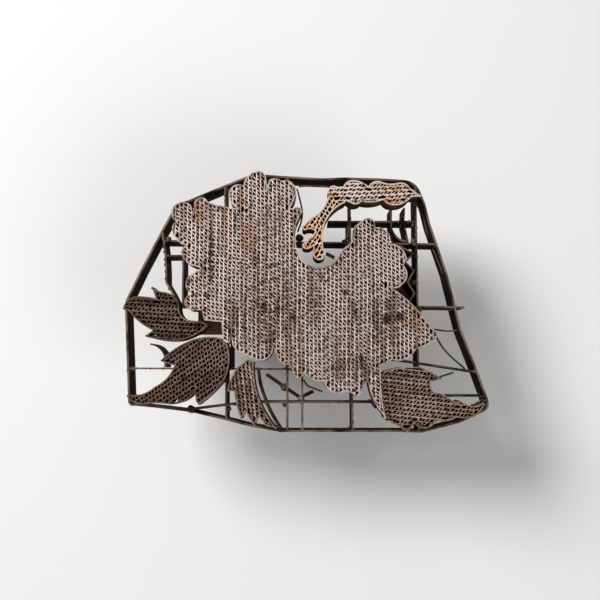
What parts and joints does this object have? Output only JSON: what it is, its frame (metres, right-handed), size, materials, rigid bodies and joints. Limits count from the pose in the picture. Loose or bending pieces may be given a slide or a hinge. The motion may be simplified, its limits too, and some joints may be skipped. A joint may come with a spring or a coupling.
{
  "type": "batik stamp",
  "caption": "Copper strip batik stamp: an openwork flower, leaves and budding branch on a lattice inside an irregular band, with a strap handle behind.",
  "frame": {"origin": "centre of the outline at the level of the flat of the handle, which the stamp lies on", "axes": "+Z from the handle towards the printing face; +X along the longer side, towards the leaf at the lower right of the printing face; +Y towards the branch"},
  "size_m": [0.2044, 0.1469, 0.1],
  "materials": {
    "printing_copper": "worn bright front edges over dull brown copper",
    "leaf_copper": "dull brown copper, a little brighter on the front edges",
    "branch_copper": "warm copper with worn edges",
    "frame_copper": "dark tarnished copper with old wax",
    "handle_copper": "brown copper sheet, rubbed by the hand",
    "solder": "dull grey solder"
  },
  "bodies": {
    "root": {"flower_rim_top_left": "printing_copper", "flower_rim_top": "printing_copper", "flower_rim_right": "printing_copper", "flower_rim_bottom": "printing_copper", "flower_rim_left": "printing_copper", "flower_ribs_left": "printing_copper", "flower_ribs_right": "printing_copper", "flower_crimps_left": "printing_copper", "flower_crimps_right": "printing_copper", "upper_leaf_rim": "leaf_copper", "upper_leaf_ribs": "leaf_copper", "upper_leaf_crimps": "leaf_copper", "lower_leaf_rim": "leaf_copper", "lower_leaf_ribs": "leaf_copper", "lower_leaf_crimps": "leaf_copper", "small_leaf_rim": "printing_copper", "small_leaf_ribs": "printing_copper", "small_leaf_crimps": "printing_copper", "right_leaf_rim": "printing_copper", "right_leaf_ribs": "printing_copper", "right_leaf_crimps": "printing_copper", "branch_rim": "branch_copper", "branch_ribs": "branch_copper", "branch_crimps": "branch_copper", "band_left": "frame_copper", "band_lower_left": "frame_copper", "band_bottom": "frame_copper", "band_lower_right": "frame_copper", "band_right": "frame_copper", "band_top": "frame_copper", "band_upper_left": "frame_copper", "band_shoulder": "frame_copper", "upright_bar_a": "frame_copper", "upright_bar_b": "frame_copper", "upright_bar_c": "frame_copper", "upright_bar_d": "frame_copper", "left_upright_strip": "frame_copper", "leaf_support_strip": "frame_copper", "short_uprights": "frame_copper", "corner_uprights": "frame_copper", "hook_strip": "frame_copper", "cross_bar_a": "frame_copper", "cross_bar_b": "frame_copper", "cross_bar_c": "frame_copper", "cross_bar_d": "frame_copper", "cross_bar_e": "frame_copper", "slanted_bar": "frame_copper", "right_cross_bar": "frame_copper", "left_short_bar": "frame_copper", "zigzag_strip": "frame_copper", "scroll_strip": "frame_copper", "tie_wires": "frame_copper", "brace_rods": "frame_copper", "solder_beads": "solder", "handle_strap": "handle_copper", "handle_grip": "handle_copper", "foot_plate_left": "handle_copper", "foot_plate_right": "handle_copper", "handle_rivets": "handle_copper"}
  },
  "joints": []
}
